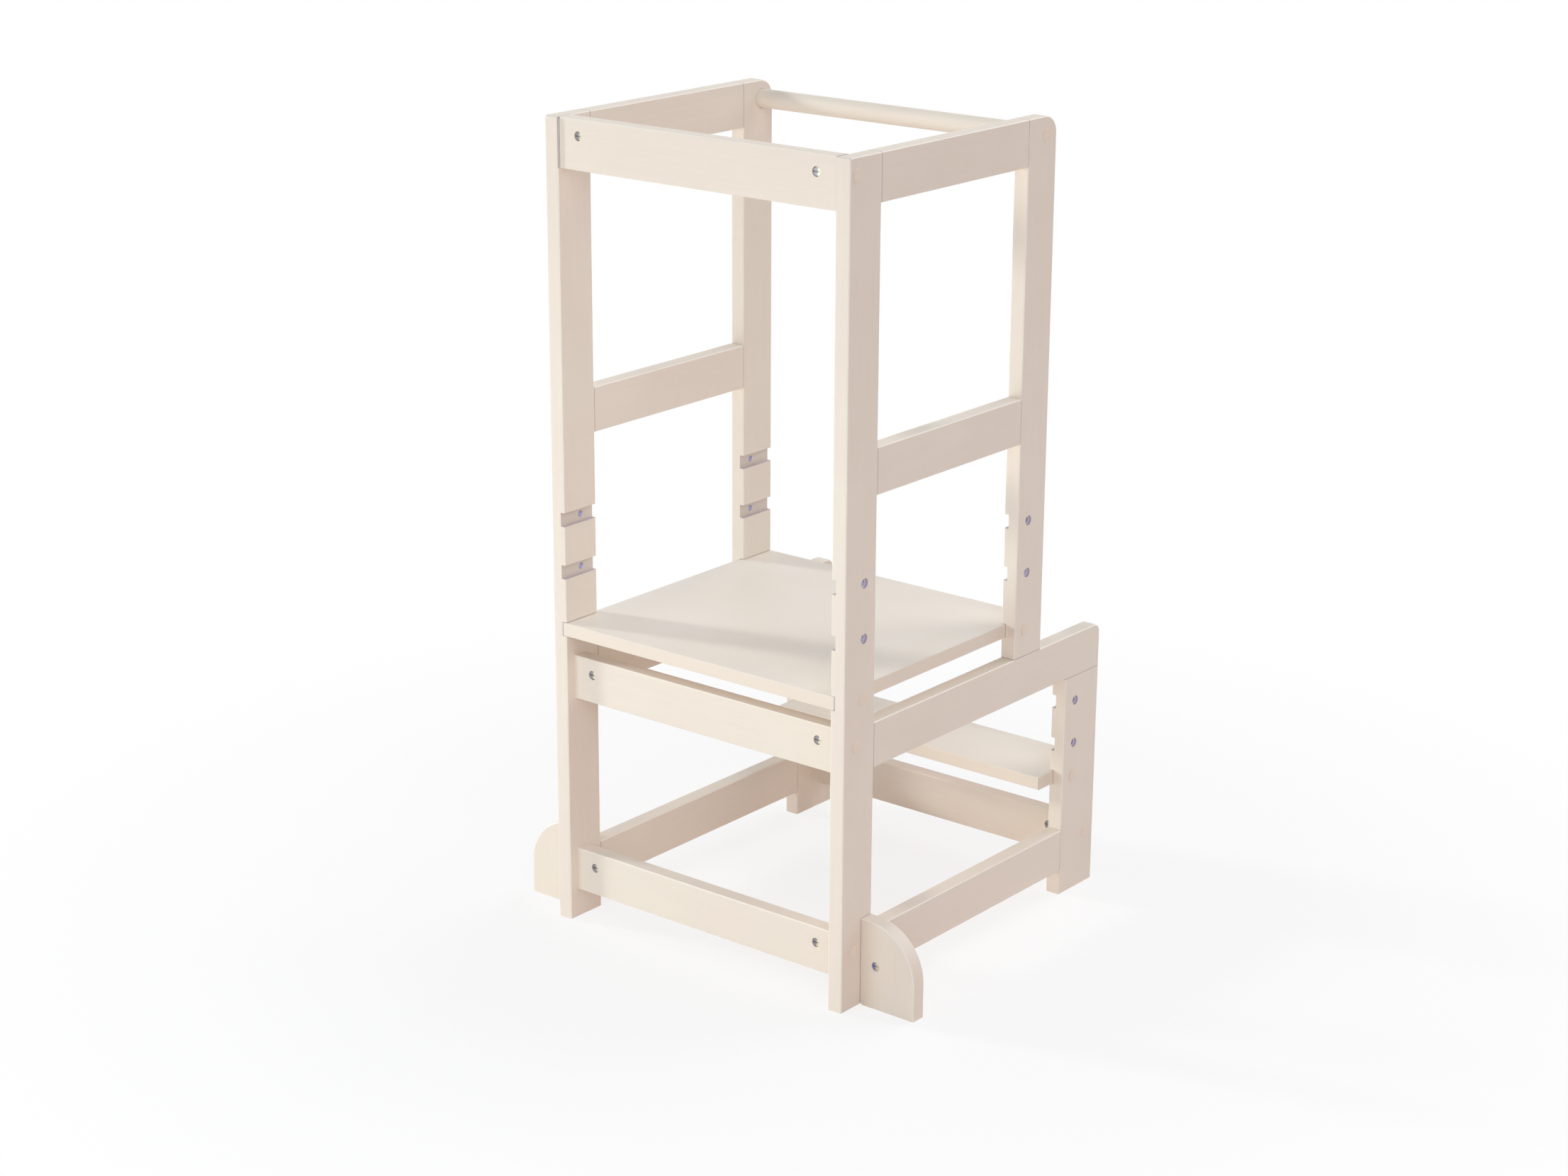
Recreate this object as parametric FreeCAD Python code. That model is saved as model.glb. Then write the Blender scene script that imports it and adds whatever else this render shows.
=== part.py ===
"""A toddler's kitchen helper stool: a painted wooden tower with a step behind it.

Two glued side frames are held apart by three front boards, a rear cross board,
a round handrail, a standing platform and a step tread.  Platform and tread sit
in one of three grooves, so that both can be bolted higher as the child grows.

Millimetres.  X runs across the stool, with +X on the left of a child who climbs
in from behind.  The front boards face -Y, the step is at +Y, and +Z is up.  The
origin is on the floor, in the middle of the stool's overall box.
"""
import FreeCAD, Part

import math
import os

V = FreeCAD.Vector

# ---- overall ------------------------------------------------------------------
overall_height = 900.0
frame_width = 400.0          # over the outer faces of the two side frames
frame_depth = 470.0          # front of the front posts to the back of the step legs

# ---- side frames --------------------------------------------------------------
frame_thickness = 18.0
post_depth = 50.0
upright_depth = 50.0
upright_back = 351.5         # front of the front posts to the back of the uprights
leg_depth = 65.0
top_rail_height = 50.0
middle_rail_height = 50.0
shelf_rail_height = 50.0
bottom_rail_height = 50.0
middle_rail_z = 553.5        # the underside of each rail
shelf_rail_z = 261.0
bottom_rail_z = 29.0
post_top_radius = 3.0
upright_top_radius = 20.0
shelf_end_radius = 10.0
edge_radius = 1.5            # every sanded edge of the frames, boards and feet
seam_relief = 0.4            # chamfer round a member's glued end, seen as a hairline

# ---- cross boards -------------------------------------------------------------
board_thickness = 18.0
top_board_height = 54.0
middle_board_height = 50.0
bottom_board_height = 50.0
rear_board_height = 50.0
middle_board_z = 260.0
bottom_board_z = 33.0
rear_board_z = 30.0
top_board_recess = 2.5       # behind the front faces of the posts
lower_board_recess = 12.0
rear_board_recess = 7.0      # in front of the back faces of the step legs
board_bolt_drop = 18.0       # from a board's top edge down to its bolts
board_dowel_rise = 14.0      # from a board's lower edge up to its dowels

# ---- platform and step tread --------------------------------------------------
panel_thickness = 15.0
panel_edge_radius = 1.0
platform_low_z = 334.3       # the floors of the three grooves; it is bolted in the lowest
platform_middle_z = 399.0
platform_high_z = 458.0
tread_low_z = 133.4          # the floors of the three grooves; it is bolted in the lowest
tread_middle_z = 172.4
tread_high_z = 223.2
tread_front_overhang = 29.0
tread_back_overhang = 4.0
groove_depth = 5.5
groove_clearance = 0.6       # groove height over the panel's thickness
panel_end_clearance = 0.5    # between a panel's end and the bottom of its groove
post_hole_inset = 31.0       # from the front face of a post
upright_hole_inset = 31.0    # from the back face of an upright
leg_hole_inset = 20.0        # from the front face of a step leg

# ---- handrail -----------------------------------------------------------------
handrail_diameter = 21.0
handrail_back_inset = 18.0
handrail_top_inset = 20.5
handrail_socket_depth = 5.0
handrail_clearance = 0.3     # round the rail, and at each end of it

# ---- stabiliser feet ----------------------------------------------------------
foot_reach = 70.0            # beyond the outer face of a side frame
foot_height = 98.0
foot_thickness = 18.0
foot_radius = 60.0
foot_heel_chamfer = 3.0
foot_bolt_z = 48.7
foot_dowel_z = 81.0

# ---- fasteners ----------------------------------------------------------------
bolt_diameter = 6.0
bolt_length = 45.0
bolt_head_diameter = 10.0
bolt_head_height = 2.5
bolt_hole_clearance = 1.0    # on the diameter
bolt_hole_runout = 8.0       # drilled past the bolt's end
bolt_tip_chamfer = 0.8
hex_socket_width = 4.0       # across its flats
hex_socket_depth = 1.8
counterbore_clearance = 0.8  # on the diameter
counterbore_depth = 3.0
nut_diameter = 10.0
nut_clearance = 0.2          # on the diameter
nut_recess = 1.0             # below the face that it is pushed in from
nut_cover = 3.0              # wood left behind it
nut_setback = 26.0           # from the end of its board or panel
foot_nut_setback = 20.0
nut_rim_chamfer = 0.6
nut_slot_width = 1.4
nut_slot_depth = 1.2
thread_clearance = 0.1       # on the diameter
screw_diameter = 4.5
screw_length = 45.0
screw_tip_length = 6.0
cap_diameter = 14.0
cap_thickness = 0.8
cap_edge_radius = 0.35
cap_peg_clearance = 0.4      # in the socket's width
cap_peg_length = 1.6
dowel_diameter = 8.0
dowel_clearance = 0.1        # on the diameter
dowel_end_gap = 0.5
frame_dowel_length = 40.0
frame_dowel_spacing = 28.0
board_dowel_length = 30.0
board_dowel_in_post = 11.0
cut_overrun = 1.0            # how far a cut starts outside the face that it opens

# ---- places that follow from these --------------------------------------------
outer_x = frame_width / 2
inner_x = outer_x - frame_thickness
middle_x = outer_x - frame_thickness / 2
front_y = -(frame_depth + tread_back_overhang) / 2
back_y = front_y + frame_depth
post_back_y = front_y + post_depth
upright_back_y = front_y + upright_back
upright_front_y = upright_back_y - upright_depth
leg_front_y = back_y - leg_depth
top_rail_z = overall_height - top_rail_height
middle_rail_top = middle_rail_z + middle_rail_height
shelf_rail_top = shelf_rail_z + shelf_rail_height
bottom_rail_top = bottom_rail_z + bottom_rail_height
top_board_z = overall_height - top_board_height
handrail_y = upright_back_y - handrail_back_inset
handrail_z = overall_height - handrail_top_inset
foot_back_y = post_back_y
foot_y = foot_back_y - foot_thickness / 2
post_hole_y = front_y + post_hole_inset
upright_hole_y = upright_back_y - upright_hole_inset
leg_hole_y = leg_front_y + leg_hole_inset
panel_half_length = inner_x + groove_depth - panel_end_clearance
platform_levels = (platform_low_z, platform_middle_z, platform_high_z)
tread_levels = (tread_low_z, tread_middle_z, tread_high_z)

RIGHT = V(1, 0, 0)
BACK = V(0, 1, 0)
UP = V(0, 0, 1)
LEFT = RIGHT * -1
FRONT = BACK * -1
DOWN = UP * -1


# ---- shapes -------------------------------------------------------------------
def block(x0, x1, y0, y1, z0, z1):
    """A box between two values on each axis."""
    return Part.makeBox(x1 - x0, y1 - y0, z1 - z0, V(x0, y0, z0))


def rod(start, direction, length, diameter):
    """A round bar that runs from a point in a direction."""
    return Part.makeCylinder(diameter / 2, length, start, direction)


def mirrored(shape):
    """The same shape on the other side of the stool."""
    return shape.mirror(V(0, 0, 0), RIGHT)


def both_sides(shapes):
    """Right-hand shapes and their mirror images."""
    return shapes + [mirrored(shape) for shape in shapes]


def cut_all(shape, cutters):
    """The shape less every cutter, as one clean solid."""
    return shape.cut(cutters).removeSplitter().Solids[0]


def outline_face(points):
    """A flat face from a closed list of points in the YZ plane at x = 0.

    A point is (y, z), or (y, z, radius) where the corner is rounded.
    """
    edges = []
    starts, ends = [], []
    count = len(points)
    for index, point in enumerate(points):
        corner = V(0, point[0], point[1])
        before = points[index - 1]
        after = points[(index + 1) % count]
        radius = point[2] if len(point) > 2 else 0.0
        to_before = (V(0, before[0], before[1]) - corner).normalize()
        to_after = (V(0, after[0], after[1]) - corner).normalize()
        first = corner + to_before * radius
        last = corner + to_after * radius
        starts.append(first)
        ends.append(last)
        if radius:
            centre = corner + (to_before + to_after) * radius
            middle = centre + (corner - centre).normalize() * radius
            edges.append(Part.Arc(first, middle, last).toShape())
    for index in range(count):
        nearest = starts[(index + 1) % count]
        edges.append(Part.makeLine(ends[index], nearest))
    return Part.Face(Part.Wire(Part.__sortEdges__(edges)))


def edges_on(shape, is_wanted):
    """The edges whose two ends and middle all pass a test."""
    found = []
    for edge in shape.Edges:
        first, last = edge.ParameterRange
        places = [edge.valueAt(first + (last - first) * share) for share in (0.0, 0.5, 1.0)]
        if all(is_wanted(place) for place in places):
            found.append(edge)
    return found


def near(value, target):
    """Whether two measures are the same place."""
    return abs(value - target) < 1e-4


# ---- fasteners: point is on the face that the head goes in at -----------------
def bolt_hole(point, direction):
    """Counterbore and clearance hole for one furniture bolt."""
    width = bolt_head_diameter + counterbore_clearance
    depth = counterbore_depth + bolt_length + bolt_hole_runout
    wide = rod(point, direction, counterbore_depth, width)
    narrow = rod(point, direction, depth, bolt_diameter + bolt_hole_clearance)
    return wide.fuse(narrow)


def hex_bar(point, direction, length, width):
    """A six-sided bar whose first corner points up or across."""
    aside = UP if abs(direction.z) < 0.5 else RIGHT
    across = direction.cross(aside).normalize()
    reach = width / math.sqrt(3)
    corners = []
    for step in range(6):
        angle = math.radians(60 * step)
        corners.append(point + aside * (reach * math.cos(angle)) + across * (reach * math.sin(angle)))
    corners.append(corners[0])
    return Part.Face(Part.makePolygon(corners)).extrude(direction * length)


def furniture_bolt(point, direction):
    """Low round head with a hex socket, on a plain shank with a chamfered tip."""
    seat = point + direction * counterbore_depth
    top = seat - direction * bolt_head_height
    head = rod(top, direction, bolt_head_height, bolt_head_diameter)
    shank_length = bolt_length - bolt_tip_chamfer
    shank = rod(seat, direction, shank_length, bolt_diameter)
    tip_start = seat + direction * shank_length
    tip_radius = bolt_diameter / 2 - bolt_tip_chamfer
    tip = Part.makeCone(bolt_diameter / 2, tip_radius, bolt_tip_chamfer, tip_start, direction)
    body = head.fuse([shank, tip])
    return cut_all(body, [hex_bar(top, direction, hex_socket_depth, hex_socket_width)])


def cover_cap(point, direction):
    """Thin round cap on the outer face, with a peg that grips the hex socket."""
    disc = rod(point - direction * cap_thickness, direction, cap_thickness, cap_diameter)
    outside = point - direction * cap_thickness
    rim = edges_on(disc, lambda place: near((place - outside).dot(direction), 0.0))
    disc = disc.makeFillet(cap_edge_radius, rim)
    head_gap = counterbore_depth - bolt_head_height
    peg = rod(point, direction, head_gap + cap_peg_length, hex_socket_width - cap_peg_clearance)
    return disc.fuse(peg).removeSplitter()


def nut_length(thickness):
    """A barrel nut's length in a board or panel of this thickness."""
    return thickness - nut_recess - nut_cover


def nut_bore(centre, outward, thickness):
    """The blind hole for a barrel nut; centre is on the bolt's axis at mid-thickness."""
    mouth = centre + outward * (thickness / 2)
    depth = nut_recess + nut_length(thickness)
    return rod(mouth, outward * -1, depth, nut_diameter + nut_clearance)


def barrel_nut(centre, outward, thickness, bolt_direction):
    """A cross-drilled barrel with a screwdriver slot along the bolt."""
    top = centre + outward * (thickness / 2 - nut_recess)
    barrel = rod(top, outward * -1, nut_length(thickness), nut_diameter)
    rim = edges_on(barrel, lambda place: near((place - top).dot(outward), 0.0))
    barrel = barrel.makeChamfer(nut_rim_chamfer, rim)
    start = centre - bolt_direction * nut_diameter
    thread = rod(start, bolt_direction, 2 * nut_diameter, bolt_diameter + thread_clearance)
    aside = outward.cross(bolt_direction)
    corner = top - bolt_direction * nut_diameter - aside * (nut_slot_width / 2)
    slot_face = Part.Face(Part.makePolygon([
        corner,
        corner + bolt_direction * (2 * nut_diameter),
        corner + bolt_direction * (2 * nut_diameter) + aside * nut_slot_width,
        corner + aside * nut_slot_width,
        corner,
    ]))
    slot = slot_face.extrude(outward * -nut_slot_depth)
    return cut_all(barrel, [thread, slot])


def wood_screw(point, direction):
    """Cylindrical head with a hex socket, a plain shank and a pointed tip."""
    seat = point + direction * counterbore_depth
    top = seat - direction * bolt_head_height
    head = rod(top, direction, bolt_head_height, bolt_head_diameter)
    shank = rod(seat, direction, screw_length - screw_tip_length, screw_diameter)
    tip_start = seat + direction * (screw_length - screw_tip_length)
    tip = Part.makeCone(screw_diameter / 2, 0.0, screw_tip_length, tip_start, direction)
    body = head.fuse([shank, tip])
    return cut_all(body, [hex_bar(top, direction, hex_socket_depth, hex_socket_width)])


def screw_hole(point, direction):
    """Counterbore and pilot hole for one handrail screw."""
    width = bolt_head_diameter + counterbore_clearance
    depth = counterbore_depth + screw_length + dowel_end_gap
    wide = rod(point, direction, counterbore_depth, width)
    narrow = rod(point, direction, depth, screw_diameter + thread_clearance)
    return wide.fuse(narrow)


def dowel(start, direction, length):
    """A plain round wooden dowel."""
    return rod(start, direction, length, dowel_diameter)


def dowel_hole(start, direction, length):
    """The hole for a dowel, a little deeper at both ends."""
    first = start - direction * dowel_end_gap
    return rod(first, direction, length + 2 * dowel_end_gap, dowel_diameter + dowel_clearance)


# ---- the right-hand side frame ------------------------------------------------
def frame_outline():
    """The painted outline of a side frame, less its three windows."""
    outside = outline_face([
        (front_y, 0.0),
        (post_back_y, 0.0),
        (post_back_y, bottom_rail_z),
        (leg_front_y, bottom_rail_z),
        (leg_front_y, 0.0),
        (back_y, 0.0),
        (back_y, shelf_rail_top, shelf_end_radius),
        (upright_back_y, shelf_rail_top),
        (upright_back_y, overall_height, upright_top_radius),
        (front_y, overall_height, post_top_radius),
    ])
    windows = [
        (upright_front_y, middle_rail_top, top_rail_z),
        (upright_front_y, shelf_rail_top, middle_rail_z),
        (leg_front_y, bottom_rail_top, shelf_rail_z),
    ]
    for far_y, low, high in windows:
        window = outline_face([
            (post_back_y, low),
            (far_y, low),
            (far_y, high),
            (post_back_y, high),
        ])
        outside = outside.cut(window)
    return outside.Faces[0]


def side_frame():
    """One thick frame with every edge of both its faces rounded over."""
    blank = frame_outline().extrude(RIGHT * frame_thickness)
    blank.translate(RIGHT * inner_x)
    rounded = edges_on(blank, lambda p: near(p.x, inner_x)) + edges_on(blank, lambda p: near(p.x, outer_x))
    return blank.makeFillet(edge_radius, rounded)


def frame_members():
    """The frame cut at its glue lines into the pieces that it is made of.

    An end that is glued to the side of another piece is chamfered all round.
    """
    frame = side_frame()
    zones = {
        "front_post": (front_y, post_back_y, 0.0, overall_height),
        "rear_upright": (upright_front_y, upright_back_y, shelf_rail_top, overall_height),
        "top_rail": (post_back_y, upright_front_y, top_rail_z, overall_height),
        "middle_rail": (post_back_y, upright_front_y, middle_rail_z, middle_rail_top),
        "shelf_rail": (post_back_y, back_y, shelf_rail_z, shelf_rail_top),
        "bottom_rail": (post_back_y, leg_front_y, bottom_rail_z, bottom_rail_top),
        "step_leg": (leg_front_y, back_y, 0.0, shelf_rail_z),
    }
    members = {}
    for name, (y0, y1, z0, z1) in zones.items():
        zone = block(inner_x, outer_x, y0, y1, z0, z1)
        members[name] = frame.common(zone).Solids[0]
    glued_ends = {
        "rear_upright": lambda p: near(p.z, shelf_rail_top),
        "top_rail": lambda p: near(p.y, post_back_y) or near(p.y, upright_front_y),
        "middle_rail": lambda p: near(p.y, post_back_y) or near(p.y, upright_front_y),
        "shelf_rail": lambda p: near(p.y, post_back_y),
        "bottom_rail": lambda p: near(p.y, post_back_y) or near(p.y, leg_front_y),
        "step_leg": lambda p: near(p.z, shelf_rail_z),
    }
    for name, is_end in glued_ends.items():
        ends = edges_on(members[name], is_end)
        members[name] = members[name].makeChamfer(seam_relief, ends)
    return members


def frame_dowel_starts():
    """Each glued joint of a frame: its two pieces, and where its dowels start and run."""
    half = frame_dowel_length / 2
    spread = frame_dowel_spacing / 2
    butt_joints = [
        ("front_post", "top_rail", post_back_y, top_rail_z + top_rail_height / 2),
        ("top_rail", "rear_upright", upright_front_y, top_rail_z + top_rail_height / 2),
        ("front_post", "middle_rail", post_back_y, middle_rail_z + middle_rail_height / 2),
        ("middle_rail", "rear_upright", upright_front_y, middle_rail_z + middle_rail_height / 2),
        ("front_post", "shelf_rail", post_back_y, shelf_rail_z + shelf_rail_height / 2),
        ("front_post", "bottom_rail", post_back_y, bottom_rail_z + bottom_rail_height / 2),
        ("bottom_rail", "step_leg", leg_front_y, bottom_rail_z + bottom_rail_height / 2),
    ]
    standing_joints = [
        ("shelf_rail", "rear_upright", upright_front_y + upright_depth / 2, shelf_rail_top),
        ("step_leg", "shelf_rail", leg_front_y + leg_depth / 2, shelf_rail_z),
    ]
    starts = []
    for first, second, y, z in butt_joints:
        for offset in (-spread, spread):
            starts.append((first, second, V(middle_x, y - half, z + offset), BACK))
    for first, second, y, z in standing_joints:
        for offset in (-spread, spread):
            starts.append((first, second, V(middle_x, y + offset, z - half), UP))
    return starts


def groove(y0, y1, floor_z):
    """One groove across the inner face of a post, upright or leg."""
    height = panel_thickness + groove_clearance
    return block(
        inner_x - cut_overrun,
        inner_x + groove_depth,
        y0 - cut_overrun,
        y1 + cut_overrun,
        floor_z,
        floor_z + height,
    )


# ---- cross boards, platform, tread, handrail and feet --------------------------
def edges_along_x(shape):
    """The straight edges that run across the stool."""
    return [edge for edge in shape.Edges if near(abs(edge.tangentAt(edge.FirstParameter).x), 1.0)]


def cross_board(face_y, low_z, height):
    """A board between the frames with its long edges rounded over."""
    board = block(-inner_x, inner_x, face_y, face_y + board_thickness, low_z, low_z + height)
    return board.makeFillet(edge_radius, edges_along_x(board))


def panel(y0, y1, floor_z):
    """The platform or the tread, with its long edges eased."""
    board = block(-panel_half_length, panel_half_length, y0, y1, floor_z, floor_z + panel_thickness)
    return board.makeFillet(panel_edge_radius, edges_along_x(board))


def stabiliser_foot():
    """A board on edge beside the front post, rounded at its outer top corner."""
    front_face_y = foot_back_y - foot_thickness
    foot = block(outer_x, outer_x + foot_reach, front_face_y, foot_back_y, 0.0, foot_height)
    corner = edges_on(foot, lambda p: near(p.x, outer_x + foot_reach) and near(p.z, foot_height))
    foot = foot.makeFillet(foot_radius, corner)
    heel = edges_on(foot, lambda p: near(p.x, outer_x) and near(p.z, 0.0))
    foot = foot.makeChamfer(foot_heel_chamfer, heel)
    rims = edges_on(foot, lambda p: near(p.y, front_face_y) or near(p.y, foot_back_y))
    exposed = []
    for edge in rims:
        middle = edge.valueAt((edge.FirstParameter + edge.LastParameter) / 2)
        if middle.x > outer_x + foot_heel_chamfer and middle.z > foot_heel_chamfer:
            exposed.append(edge)
    return foot.makeFillet(edge_radius, exposed)


def handrail():
    """The round rail that drops into a shallow socket in each upright."""
    half = inner_x + handrail_socket_depth - handrail_clearance
    return rod(V(-half, handrail_y, handrail_z), RIGHT, 2 * half, handrail_diameter)


def handrail_socket():
    """The round socket in the inner face of the right upright."""
    start = V(inner_x - cut_overrun, handrail_y, handrail_z)
    length = handrail_socket_depth + cut_overrun
    return rod(start, RIGHT, length, handrail_diameter + 2 * handrail_clearance)


# ---- the joints on the right, each with the holes that it needs ----------------
side_pieces = frame_members()
side_pieces["stabiliser_foot"] = stabiliser_foot()
boards = {
    "front_top_board": (front_y + top_board_recess, top_board_z, top_board_height),
    "front_middle_board": (front_y + lower_board_recess, middle_board_z, middle_board_height),
    "front_bottom_board": (front_y + lower_board_recess, bottom_board_z, bottom_board_height),
    "rear_cross_board": (back_y - rear_board_recess - board_thickness, rear_board_z, rear_board_height),
}
middle_pieces = {name: cross_board(*place) for name, place in boards.items()}
middle_pieces["platform"] = panel(front_y, upright_back_y, platform_low_z)
middle_pieces["step_tread"] = panel(
    leg_front_y - tread_front_overhang,
    back_y + tread_back_overhang,
    tread_low_z,
)
middle_pieces["handrail"] = handrail()
holes = {name: [] for name in [*side_pieces, *middle_pieces]}
fittings = {}


def drill(hole, *names):
    """Notes one hole for each piece that it goes into."""
    for name in names:
        holes[name].append(hole)


def add_fitting(node, shape):
    """Notes one right-hand fastener, cap or dowel for its node."""
    fittings.setdefault(node, []).append(shape)


def fit_bolt(kind, point, direction, setback, nut_face, thickness, carrier, piece):
    """A bolt through its carrier into the end of a piece, with its nut and cap."""
    centre = point + direction * (frame_thickness + setback)
    drill(bolt_hole(point, direction), carrier, piece)
    drill(nut_bore(centre, nut_face, thickness), piece)
    add_fitting(kind + "_bolts", furniture_bolt(point, direction))
    add_fitting(kind + "_barrel_nuts", barrel_nut(centre, nut_face, thickness, direction))
    add_fitting("cover_caps", cover_cap(point, direction))


def fit_dowel(node, start, direction, length, *names):
    """A dowel that crosses the joint between two pieces."""
    drill(dowel_hole(start, direction, length), *names)
    add_fitting(node, dowel(start, direction, length))


for first, second, start, direction in frame_dowel_starts():
    fit_dowel("frame_dowels", start, direction, frame_dowel_length, first, second)

for name, (face_y, low_z, height) in boards.items():
    carrier = "step_leg" if name == "rear_cross_board" else "front_post"
    middle_y = face_y + board_thickness / 2
    bolt_point = V(outer_x, middle_y, low_z + height - board_bolt_drop)
    fit_bolt("board", bolt_point, LEFT, nut_setback, FRONT, board_thickness, carrier, name)
    dowel_start = V(inner_x + board_dowel_in_post, middle_y, low_z + board_dowel_rise)
    fit_dowel("board_dowels", dowel_start, LEFT, board_dowel_length, carrier, name)

panel_seats = {
    "front_post": ("platform", platform_levels, front_y, post_back_y, post_hole_y),
    "rear_upright": ("platform", platform_levels, upright_front_y, upright_back_y, upright_hole_y),
    "step_leg": ("step_tread", tread_levels, leg_front_y, back_y, leg_hole_y),
}
for carrier, (name, levels, y0, y1, hole_y) in panel_seats.items():
    for level in levels:
        drill(groove(y0, y1, level), carrier)
        bolt_point = V(outer_x, hole_y, level + panel_thickness / 2)
        if level == levels[0]:
            fit_bolt(name, bolt_point, LEFT, nut_setback, DOWN, panel_thickness, carrier, name)
        else:
            drill(bolt_hole(bolt_point, LEFT), carrier)

screw_point = V(outer_x, handrail_y, handrail_z)
drill(handrail_socket(), "rear_upright")
drill(screw_hole(screw_point, LEFT), "rear_upright", "handrail")
add_fitting("handrail_screws", wood_screw(screw_point, LEFT))
add_fitting("cover_caps", cover_cap(screw_point, LEFT))

# A foot's bolt goes in from the inner face of the post, with a dowel above it.
foot_pair = ("front_post", "stabiliser_foot")
foot_point = V(inner_x, foot_y, foot_bolt_z)
fit_bolt("foot", foot_point, RIGHT, foot_nut_setback, FRONT, foot_thickness, *foot_pair)
foot_dowel_start = V(outer_x - board_dowel_in_post, foot_y, foot_dowel_z)
fit_dowel("foot_dowels", foot_dowel_start, RIGHT, board_dowel_length, *foot_pair)

# ---- the finished nodes -------------------------------------------------------
nodes = {}
for name, piece in side_pieces.items():
    finished = cut_all(piece, holes[name])
    nodes[name + "_right"] = finished
    nodes[name + "_left"] = mirrored(finished)
for name, piece in middle_pieces.items():
    nodes[name] = cut_all(piece, both_sides(holes[name]))
for name, shapes in fittings.items():
    if name in ("cover_caps", "frame_dowels"):
        nodes[name + "_right"] = Part.Compound(shapes)
        nodes[name + "_left"] = mirrored(Part.Compound(shapes))
    else:
        nodes[name] = Part.Compound(both_sides(shapes))

os.makedirs("parts", exist_ok=True)
for name, shape in nodes.items():
    shape.exportStep("parts/" + name + ".step")
    print(f"{name:24s} solids {len(shape.Solids):3d}, closed and sound: {shape.isValid()}")
print(len(nodes), "nodes")
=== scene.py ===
"""Kitchen helper stool: finishes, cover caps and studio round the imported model.

The file is laid out as an add-on and is run as a script.  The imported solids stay
where they are and get their paint, plate and wood here; the cover caps and the
floor are new surfaces.  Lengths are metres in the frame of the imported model:
the front boards face -Y, the step is at +Y, and the floor is z = 0.
"""

import math

import bpy
import numpy as np
from bpy.props import FloatProperty, FloatVectorProperty, PointerProperty
from mathutils import Matrix, Vector


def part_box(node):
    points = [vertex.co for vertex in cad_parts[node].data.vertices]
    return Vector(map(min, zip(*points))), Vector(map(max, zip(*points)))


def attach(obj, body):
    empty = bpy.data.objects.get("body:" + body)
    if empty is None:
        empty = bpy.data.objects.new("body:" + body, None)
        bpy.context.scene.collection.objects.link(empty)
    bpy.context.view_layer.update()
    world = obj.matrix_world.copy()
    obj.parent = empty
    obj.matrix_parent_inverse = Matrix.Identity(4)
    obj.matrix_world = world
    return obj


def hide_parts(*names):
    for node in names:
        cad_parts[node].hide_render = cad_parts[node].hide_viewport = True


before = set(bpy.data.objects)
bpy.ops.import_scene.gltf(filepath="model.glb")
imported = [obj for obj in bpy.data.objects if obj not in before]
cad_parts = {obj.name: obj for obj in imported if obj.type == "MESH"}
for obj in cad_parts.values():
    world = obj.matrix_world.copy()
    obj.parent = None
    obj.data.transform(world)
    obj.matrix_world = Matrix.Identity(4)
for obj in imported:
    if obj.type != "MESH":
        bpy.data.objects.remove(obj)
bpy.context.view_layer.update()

bl_info = {
    "name": "Kitchen Helper Stool",
    "version": (1, 0, 0),
    "blender": (4, 5, 0),
    "location": "3D View > Sidebar > Helper Stool",
    "description": "Finishes and fittings of a painted kitchen helper stool",
    "category": "Object",
}

BODY = "root"
MM = 0.001
SIDES = ("left", "right")
UP = np.array([0.0, 0.0, 1.0])

# Where the solids stand, in metres.
OUTER_X = 0.200                     # outer face of a side frame
INNER_X = 0.182                     # inner face of a side frame
POST_BACK_Y = -0.187                # glue line between the front post and its rails
UPRIGHT_FRONT_Y = 0.0645            # glue line between the rails and the upright
LEG_FRONT_Y = 0.168                 # glue line between the bottom rail and the step leg
SHELF_TOP_Z = 0.311                 # the upright stands here
SHELF_LOW_Z = 0.261                 # the step leg ends here
OUTER_CAP_PLACES = (                # y, z of each cap on an outer face
    (-0.2255, 0.8820), (-0.2160, 0.2920), (-0.2160, 0.0650),
    (0.2170, 0.0620), (-0.2060, 0.3418), (0.0835, 0.3418),
    (0.1880, 0.1409), (0.0965, 0.8795),
)
INNER_CAP_PLACE = (-0.1960, 0.0487)  # over the bolt of a stabiliser foot
BORE_LINES = (-0.2060, 0.0835, 0.1880)  # y of the open bolt holes
BORE_LEVELS = (0.165, 0.485)        # z between which they lie, and the grooves too
GROOVE_DEPTH = 0.0055               # of the grooves in the inner faces
BOARD_NUT_X = 0.156                 # middle of a front board's barrel nut
FOOT_NUT_X = 0.220                  # middle of a foot's barrel nut
PANEL_END_X = 0.187                 # end of the platform and of the tread, in its groove

# Sizes in the finishes.
CAP_FOOT = 0.12 * MM                # rounding at the foot of a cap's rim
GROOVE_LIP = 0.3 * MM               # the painted shade in a groove starts this far in from the inner face
GROOVE_SLACK = 0.2 * MM             # and ends this far past its floor
BORE_RIM = 0.4 * MM                 # the painted shade in a bolt hole stops this far short of each face
BOARD_SHADE_LINE = 0.9 * MM               # painted shade beside the ends of the top board
SPARK_SIZE = 0.35 * MM              # grain of the caps' spark-eroded mould
SPARK_HEIGHT = 0.008 * MM
HIGHLIGHT_EDGE_SIZE = 4 * MM                 # waves of the edge of the painted highlight on a nut
HIGHLIGHT_EDGE_SWAY = 6 * MM               # how far they move it
HIGHLIGHT_EDGE_BLEND = 2.8 * MM              # width of that edge
BOARD_NUT_HIGHLIGHT = 2.6 * MM          # where the painted straw highlight starts on a board's nut
FOOT_NUT_HIGHLIGHT = 1.2 * MM           # and on a foot's nut
MARK_SIZE = 0.4 * MM                # turning marks of the metal
MARK_HEIGHT = 0.01 * MM
RAY_WIDTH = 0.6 * MM                # rays of the bare beech
RAY_LENGTH = 6 * MM
RAY_HEIGHT = 0.03 * MM
GRIT_SIZE = 4 * MM                  # grain of the floor

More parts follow.
